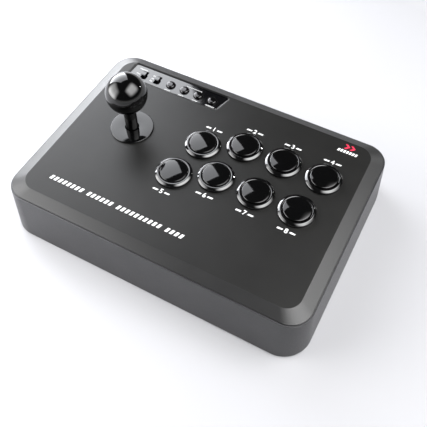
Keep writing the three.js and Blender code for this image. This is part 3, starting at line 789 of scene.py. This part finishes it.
def make_bottom_shell():
    """The tub, whose walls flare towards the table."""
    levels = filleted([
        (BASE_CAP - FLARE.x, BASE_Z),
        (-FLARE.x, BASE_Z, BASE_ROUND),
        (0.0, WALL_TOP, SEAM_ROUND),
        (WALL, WALL_TOP),
    ])
    rings = [outline(inset, z) for inset, z in levels]
    rings.append(outline(-FLARE.x, BASE_Z + BASE_THICKNESS, WALL))
    shell = new_object("bottom_shell_fine", skin(rings))

    outlet = middle("cable_grommet")
    screws = [middle(f"case_screw_{corner}") for corner in CORNER_NAMES]
    pad = prism(rectangle(**OUTLET_PAD), -OUTLET_PAD_Y[1], -OUTLET_PAD_Y[0])
    joined = [moved(turned(pad, math.pi / 2, "X"), outlet.x, 0, outlet.z)]
    joined += [cylinder(LOWER_POST, BASE_Z + OVERLAP, POST_JOINT_Z, at.x, at.y) for at in screws]
    boolean(shell, joined, "UNION")

    hole = cylinder(OUTLET_RADIUS, -OUTLET_HOLE_Y[1], -OUTLET_HOLE_Y[0])
    cuts = [moved(turned(hole, math.pi / 2, "X"), outlet.x, 0, outlet.z)]
    cuts.append(prism(rectangle(**LABEL), 0.0, BASE_Z + LABEL_DEPTH))
    for at in screws:
        cuts.append(cylinder(SCREW_CHANNEL, 0.0, SCREW_SEAT_Z, at.x, at.y))
        hole_ends = SCREW_SEAT_Z - OVERLAP, POST_JOINT_Z + OVERLAP
        cuts.append(cylinder(SCREW_HOLE, *hole_ends, at.x, at.y))
    for corner in CORNER_NAMES:
        foot = middle(f"foot_{corner}")
        cuts.append(cylinder(FOOT_POCKET_RADIUS, 0.0, FOOT_POCKET_TOP, foot.x, foot.y, steps=72))
    boolean(shell, cuts, "DIFFERENCE")
    # The walls take the lighter copy of the case plastic: painted light.
    piece("bottom_shell_fine", shell, TUB_PAINTED_LIGHT, replaces=["bottom_shell"])


# ---------------------------------------------------------------------------------------------
# Push buttons
# ---------------------------------------------------------------------------------------------

RIM_RADIUS = 13.5
RIM_CLEARANCE = 0.05
RIM_SLOPE_RUN = 1.7
RIM_SLOPE_DROP = 1.2
BORE_RADIUS = 10.25
BARREL_RADIUS = 11.7
BARREL_FLOOR = 2.0
BARREL_HOLE = 3.5
CAP_RADIUS = 9.9

# The radius of the sphere that the cap's crown is part of.
CAP_DOME = 65.0
CAP_BELOW_DECK = 7.0
CAP_STEM = 3.2


def rim_profile():
    """The rim and its barrel, which has a floor with a hole for the cap's stem."""
    base, top = low("button_rim_1").z, high("button_rim_1").z
    seat = DECK_Z + RIM_CLEARANCE
    return filleted([
        (BARREL_HOLE, base),
        (BARREL_RADIUS, base, 0.5),
        (BARREL_RADIUS, seat),
        (RIM_RADIUS, seat, 0.15),
        (RIM_RADIUS, top - RIM_SLOPE_DROP, 0.9),
        (RIM_RADIUS - RIM_SLOPE_RUN, top, 1.1),
        (BORE_RADIUS, top, 0.75),
        (BORE_RADIUS, base + BARREL_FLOOR),
        (BARREL_HOLE, base + BARREL_FLOOR),
    ], steps=10, closed=True)


def cap_profile():
    """The cap: a stem, a flat underside, and a crown that starts where the edge's fillet ends."""
    bottom, top = low("button_cap_1").z, high("button_cap_1").z
    underside = DECK_Z - CAP_BELOW_DECK
    radii = [CAP_RADIUS * k / 10 for k in range(8, -1, -1)]
    dome = [(r, top - CAP_DOME + math.sqrt(CAP_DOME ** 2 - r ** 2)) for r in radii]
    edge = CAP_DOME - math.sqrt(CAP_DOME ** 2 - CAP_RADIUS ** 2)
    side = filleted([
        (CAP_STEM, bottom),
        (CAP_STEM, underside),
        (CAP_RADIUS, underside, 0.4),
        (CAP_RADIUS, top - edge, 0.7),
        dome[0],
    ], steps=8)
    return [Vector((0, bottom))] + side + [Vector(p) for p in dome[1:]]


def make_buttons():
    for i in range(1, 9):
        place = middle(f"button_rim_{i}")
        rim = moved(lathe(rim_profile(), closed=True), place.x, place.y)
        piece(f"button_rim_fine_{i}", rim, RIM_GLOSS,
              replaces=[f"button_rim_{i}"], weighted=False)
        cap = moved(lathe(cap_profile()), place.x, place.y)
        piece(f"button_cap_fine_{i}", cap, GLOSS, f"button_{i}",
              [f"button_cap_{i}"], weighted=False)


# ---------------------------------------------------------------------------------------------
# Lever
# ---------------------------------------------------------------------------------------------

SLEEVE_RADIUS = 4.7
SHAFT_BORE = 3.2
BALL_BORE_TOP = BALL_Z - 4.0
BALL_STEPS = 40
WASHER_RADIUS = 16.3
WASHER_HOLE = 5.2


def make_ball():
    """The ball, flat where the sleeve meets it and bored for the shaft."""
    start = -math.acos(SLEEVE_RADIUS / BALL_RADIUS)
    arc = [start + (math.pi / 2 - start) * k / BALL_STEPS for k in range(BALL_STEPS + 1)]
    flat = BALL_Z + BALL_RADIUS * math.sin(start)
    profile = [(0, BALL_BORE_TOP), (SHAFT_BORE, BALL_BORE_TOP), (SHAFT_BORE, flat)]
    profile += [(BALL_RADIUS * math.cos(a), BALL_Z + BALL_RADIUS * math.sin(a)) for a in arc[:-1]]
    profile.append((0, BALL_Z + BALL_RADIUS))
    ball = moved(lathe(profile, steps=128), LEVER.x, LEVER.y)
    piece("ball_top_fine", ball, GLOSS, "lever", ["ball_top"], weighted=False)


def make_sleeve():
    bottom, top = low("shaft_sleeve").z, high("shaft_sleeve").z
    profile = filleted([
        (SHAFT_BORE, bottom),
        (SLEEVE_RADIUS, bottom, 0.1),
        (SLEEVE_RADIUS, top, 0.3),
        (SHAFT_BORE, top),
    ], steps=6, closed=True)
    sleeve = moved(lathe(profile, closed=True), LEVER.x, LEVER.y)
    piece("shaft_sleeve_fine", sleeve, GLOSS, "lever", ["shaft_sleeve"],
          weighted=False)


def make_dust_washer():
    bottom, top = low("dust_washer").z, high("dust_washer").z
    profile = filleted([
        (WASHER_HOLE, bottom, 0.2),
        (WASHER_RADIUS, bottom, 0.3),
        (WASHER_RADIUS, top, 0.5),
        (WASHER_HOLE, top, 0.25),
    ], steps=6, closed=True)
    washer = moved(lathe(profile, steps=128, closed=True), LEVER.x, LEVER.y)
    piece("dust_washer_fine", washer, GLOSS, "dust_washer", ["dust_washer"],
          weighted=False)


# ---------------------------------------------------------------------------------------------
# Control strip
# ---------------------------------------------------------------------------------------------

SMALL_BUTTONS = ["function_button_1", "function_button_2", "function_button_3", "home_button"]
SLIDE_SWITCHES = ["slide_switch_left", "slide_switch_right"]

PANEL_BEVEL = 0.15
CUT_BOTTOM = 40.0
SMALL_RADIUS = 3.6
SMALL_FACE = 1.6
SMALL_FLANGE = 4.4
SMALL_HOLE = 3.9
SMALL_HOLE_CHAMFER = 0.1
KNOB_SLOT = {"width": 4.4, "depth": 9.0, "radius": 0.5}
KNOB = {"width": 3.6, "depth": 4.4, "radius": 0.4}
KNOB_BOTTOM = 42.6
KNOB_TAPER = -0.15
KNOB_STEM = {"width": 2.0, "depth": 2.4, "radius": 0.3}
KNOB_STEM_TOP = 43.0
KNOB_GROOVE = {"width": 5.0, "depth": 0.25}
KNOB_GROOVE_DEPTH = 0.3
KNOB_GROOVE_FLARE = 0.3
KNOB_GROOVE_REACH = 1.5


def make_strip():
    """The glossy panel, with a hole for each small button and a slot for each slide switch."""
    top = STRIP_TOP
    full, face = strip_shape(), strip_shape([-PANEL_BEVEL] * 4)
    rings = [[(*p, low("control_strip").z) for p in full]]
    rings.append([(*p, top - PANEL_BEVEL) for p in full])
    rings.append([(*p, top) for p in face])
    panel = new_object("control_strip_fine", skin(rings))
    cuts = []
    for name in SMALL_BUTTONS:
        size = SMALL_HOLE, CUT_BOTTOM, top, SMALL_HOLE_CHAMFER
        cuts.append(hole_cutter(*size, 0.5, middle(name), steps=48))
    for name in SLIDE_SWITCHES:
        place = middle(name)
        slot = prism(rectangle(**KNOB_SLOT), CUT_BOTTOM, top + OVERLAP)
        cuts.append(moved(slot, place.x, place.y))
    boolean(panel, cuts, "DIFFERENCE")
    piece("control_strip_fine", panel, PANEL, replaces=["control_strip"])


def make_small_buttons():
    """Domed buttons, each held below the panel by its flange."""
    for name in SMALL_BUTTONS:
        place = middle(name)
        bottom, top = low(name).z, high(name).z
        flange_top = STRIP_FLOOR - 0.4
        profile = filleted([
            (0, bottom),
            (SMALL_FLANGE, bottom),
            (SMALL_FLANGE, flange_top),
            (SMALL_RADIUS, flange_top),
            (SMALL_RADIUS, top - 0.3, 1.3),
            (SMALL_FACE, top, 2.0),
            (0, top),
        ], steps=8)
        button = moved(lathe(profile, steps=64), place.x, place.y)
        piece(f"{name}_fine", button, GLOSS, name, [name], weighted=False)


def make_slide_knobs():
    """Knobs with two grooves for the fingertip, each on a stem that reaches its switch."""
    for name in SLIDE_SWITCHES:
        bottom, top = low(name).z, high(name).z
        knob = new_object(f"{name}_fine", prism(rectangle(**KNOB), KNOB_BOTTOM, top, KNOB_TAPER))
        boolean(knob, [prism(rectangle(**KNOB_STEM), bottom, KNOB_STEM_TOP)], "UNION")
        grooves = []
        for side in (-1, 1):
            shape = rectangle(**KNOB_GROOVE)
            groove = prism(shape, top - KNOB_GROOVE_DEPTH, top + 0.5, KNOB_GROOVE_FLARE)
            grooves.append(moved(groove, 0, KNOB_GROOVE_REACH * side))
        boolean(knob, grooves, "DIFFERENCE")
        shift_object(knob, middle(name))
        piece(f"{name}_fine", knob, PANEL, name, [name])


# ---------------------------------------------------------------------------------------------
# Feet, screws and cable outlet
# ---------------------------------------------------------------------------------------------

FOOT_RADIUS = 8.0
FOOT_HOLLOW = 5.0
FOOT_HOLLOW_DEPTH = 0.35

SCREW_HEAD_RADIUS = 2.9
SCREW_HEAD_HEIGHT = 2.2
SCREW_RADIUS = 1.4
SCREW_TIP = 1.0
SCREW_SLOT = {"width": 3.2, "depth": 0.8, "radius": 0.1}
SCREW_SLOT_DEPTH = 1.2
SCREW_SLOT_TAPER = -0.2

GROMMET_BORE = 3.4
GROMMET_NECK = 4.5
GROMMET_FLANGE = 6.6
GROMMET_INNER_FLANGE = 1.6
GROMMET_OUTER_FLANGE = 1.4


def make_feet():
    """Round rubber feet, slightly hollow in the middle."""
    for corner in CORNER_NAMES:
        name = f"foot_{corner}"
        place = middle(name)
        top = high(name).z
        profile = filleted([
            (0, FOOT_HOLLOW_DEPTH),
            (FOOT_HOLLOW - 0.4, FOOT_HOLLOW_DEPTH, 0.3),
            (FOOT_HOLLOW, 0.0, 0.2),
            (FOOT_RADIUS, 0.0, 0.8),
            (FOOT_RADIUS, top, 0.3),
            (0, top),
        ], steps=6)
        foot = moved(lathe(profile, steps=72), place.x, place.y)
        piece(f"{name}_fine", foot, RUBBER, replaces=[name], weighted=False)


def make_case_screws():
    """Cross-slotted screws, driven upwards from below."""
    for corner in CORNER_NAMES:
        name = f"case_screw_{corner}"
        bottom, top = low(name).z, high(name).z
        seat = bottom + SCREW_HEAD_HEIGHT
        profile = filleted([
            (0, bottom),
            (SCREW_HEAD_RADIUS, bottom, 0.7),
            (SCREW_HEAD_RADIUS, seat, 0.1),
            (SCREW_RADIUS, seat, 0.1),
            (SCREW_RADIUS, top - SCREW_TIP),
            (0, top),
        ], steps=5)
        screw = new_object(f"{name}_fine", lathe(profile, steps=48))
        for angle in (0.0, math.pi / 2):
            slot_ends = bottom - OVERLAP, bottom + SCREW_SLOT_DEPTH
            slot = prism(rectangle(**SCREW_SLOT), *slot_ends, SCREW_SLOT_TAPER)
            boolean(screw, [turned(slot, angle, "Z")], "DIFFERENCE")
        shift_object(screw, middle(name))
        piece(f"{name}_fine", screw, STEEL, replaces=[name])


def make_grommet():
    """A rubber ring with a flange on both sides of the back wall."""
    place = middle("cable_grommet")
    inside, outside = low("cable_grommet").y, high("cable_grommet").y
    inner_face, wall_face = inside + GROMMET_INNER_FLANGE, outside - GROMMET_OUTER_FLANGE
    profile = filleted([
        (GROMMET_BORE, inside, 0.4),
        (GROMMET_FLANGE, inside, 0.5),
        (GROMMET_FLANGE, inner_face),
        (GROMMET_NECK, inner_face),
        (GROMMET_NECK, wall_face),
        (GROMMET_FLANGE, wall_face, 0.2),
        (GROMMET_FLANGE, outside, 0.9),
        (GROMMET_BORE, outside, 0.5),
    ], steps=6, closed=True)
    grommet = turned(lathe(profile, steps=72, closed=True), -math.pi / 2, "X")
    piece("cable_grommet_fine", moved(grommet, place.x, 0, place.z), RUBBER,
          replaces=["cable_grommet"], weighted=False)


# ---------------------------------------------------------------------------------------------
# Printed marks
# ---------------------------------------------------------------------------------------------

PRINT_THICKNESS = 0.04

# A number's size, its distance from the centre of its button, and how much bolder its outline is.
NUMBER_SIZE = 5.2
NUMBER_REACH = 17.6
NUMBER_BOLDNESS = 0.022

# The dashes on both sides of a number, the stripes and the corner mark's bars: width, depth and
# slant.
DASH = (4.0, 1.3, 0.6)
STRIPE = (2.1, 3.5, 1.2)
CORNER_BAR = (1.5, 2.6, 0.6)

DASH_REACH = 4.6
STRIPE_GROUPS = [8, 6, 10, 4]
STRIPE_PITCH = 3.6
STRIPE_GAP = STRIPE_PITCH * 0.8
STRIPES_START = Vector((-88.6, -56.8))
CORNER_MARK = Vector((88.5, 62.6))
CORNER_BAR_PITCH = 2.2

# A chevron is two slanted halves, each this deep. The first one's middle is placed from the mark's.
CHEVRON_WIDTH = 2.0
CHEVRON_HALF = 2.3
CHEVRON_PITCH = 4.2
CHEVRON_START = Vector((-1.85, 4.9))

# The control strip's marks: the control, the place of the mark relative to it, width and depth.
STRIP_MARKS = [
    ("slide_switch_right", -4.6, -2.9, 2.2, 1.5),
    ("slide_switch_right", -4.6, 0.0, 2.2, 1.5),
    ("slide_switch_right", -4.6, 2.9, 2.2, 1.5),
    ("slide_switch_left", -5.4, -0.5, 3.0, 1.2),
    ("slide_switch_left", -3.6, 5.4, 7.6, 1.1),
    ("function_button_1", -0.3, -5.9, 4.8, 1.0),
    ("function_button_2", -0.3, -5.9, 4.8, 1.0),
    ("function_button_3", -0.3, -5.9, 4.8, 1.0),
    ("home_button", 0.6, -5.6, 7.6, 1.2),
]

# The bracket that joins the second and third small buttons.
BRACKET_REACH = 5.2
BRACKET_LINE = 0.7
BRACKET_END = 2.0


def printed(name, shapes, z, ink):
    """A set of flat marks, each a list of (x, y) points, printed on a surface at height z."""
    whole = bmesh.new()
    for shape in shapes:
        mark = prism(shape, z - PRINT_THICKNESS / 2, z + PRINT_THICKNESS / 2)
        data = bpy.data.meshes.new("mark")
        mark.to_mesh(data)
        mark.free()
        whole.from_mesh(data)
        bpy.data.meshes.remove(data)
    piece(name, whole, ink, weighted=False)


def bar(x, y, width, depth, slant=0.0):
    """A bar centred at (x, y); slant is how far its back edge is shifted to the right."""
    w, d, s = width / 2, depth / 2, slant / 2
    return [(x - w - s, y - d), (x + w - s, y - d), (x + w + s, y + d), (x - w + s, y + d)]


def numeral(text):
    """The solid outline of a number as a mesh, in millimetres about its centre."""
    data = bpy.data.curves.new("figure", "FONT")
    data.body = text
    data.size = NUMBER_SIZE
    data.align_x = "CENTER"
    data.align_y = "CENTER"
    data.offset = NUMBER_BOLDNESS * NUMBER_SIZE
    data.extrude = PRINT_THICKNESS / 2
    figure = bpy.data.objects.new("figure", data)
    bpy.context.scene.collection.objects.link(figure)
    bpy.context.view_layer.update()
    evaluated = figure.evaluated_get(bpy.context.evaluated_depsgraph_get())
    mesh = bpy.data.meshes.new_from_object(evaluated)
    bpy.data.objects.remove(figure)
    return mesh


def make_button_numbers():
    """The numbers 1 to 8, behind the upper row of buttons and in front of the lower row."""
    for i in range(1, 9):
        place = middle(f"button_rim_{i}")
        x, y = place.x, place.y + (NUMBER_REACH if i <= 4 else -NUMBER_REACH)
        mesh = numeral(str(i))
        mesh.transform(Matrix.Scale(MM, 4) @ Matrix.Translation((x, y, DECK_Z)))
        figure = bpy.data.objects.new(f"button_number_{i}", mesh)
        bpy.context.scene.collection.objects.link(figure)
        piece(f"button_number_{i}", figure, INK, weighted=False)
        dashes = [bar(x + side * DASH_REACH, y, *DASH) for side in (-1, 1)]
        printed(f"button_dashes_{i}", dashes, DECK_Z, INK)


def make_stripes():
    """Groups of slanted stripes along the front edge, a plain decoration."""
    stripes = []
    x, y = STRIPES_START
    for group in STRIPE_GROUPS:
        for _ in range(group):
            stripes.append(bar(x, y, *STRIPE))
            x += STRIPE_PITCH
        x += STRIPE_GAP
    printed("front_stripes", stripes, DECK_Z, INK)


def make_corner_mark():
    """Two chevrons over a short row of bars at the back right."""
    x, y = CORNER_MARK
    bars = [bar(x + CORNER_BAR_PITCH * i, y, *CORNER_BAR) for i in range(-3, 4)]
    printed("corner_bars", bars, DECK_Z, INK)
    halves = []
    for i in range(2):
        start = CORNER_MARK + CHEVRON_START + Vector((CHEVRON_PITCH * i, 0.0))
        for side in (-1, 1):
            centre_y = start.y + side * CHEVRON_HALF / 2
            halves.append(bar(start.x, centre_y, CHEVRON_WIDTH, CHEVRON_HALF, -side * CHEVRON_HALF))
    printed("corner_chevrons", halves, DECK_Z, RED_INK)


def make_strip_marks():
    """Plain bars beside the controls of the strip, and a bracket over two of them."""
    marks = []
    for name, x, y, width, depth in STRIP_MARKS:
        place = middle(name)
        marks.append(bar(place.x + x, place.y + y, width, depth))
    second, third = middle("function_button_2"), middle("function_button_3")
    y = second.y + BRACKET_REACH
    marks.append(bar((second.x + third.x) / 2, y, third.x - second.x + 1.0, BRACKET_LINE))
    marks.append(bar(third.x + 0.3, y - BRACKET_END / 2, BRACKET_LINE, BRACKET_END))
    printed("strip_marks", marks, STRIP_TOP, FAINT_INK)


# ---------------------------------------------------------------------------------------------
# The model
# ---------------------------------------------------------------------------------------------

paint_cad_nodes()
make_camera()
make_floor()
make_lights()
make_world()
make_top_shell()
make_bottom_shell()
make_buttons()
make_ball()
make_sleeve()
make_dust_washer()
make_strip()
make_small_buttons()
make_slide_knobs()
make_feet()
make_case_screws()
make_grommet()
make_button_numbers()
make_stripes()
make_corner_mark()
make_strip_marks()
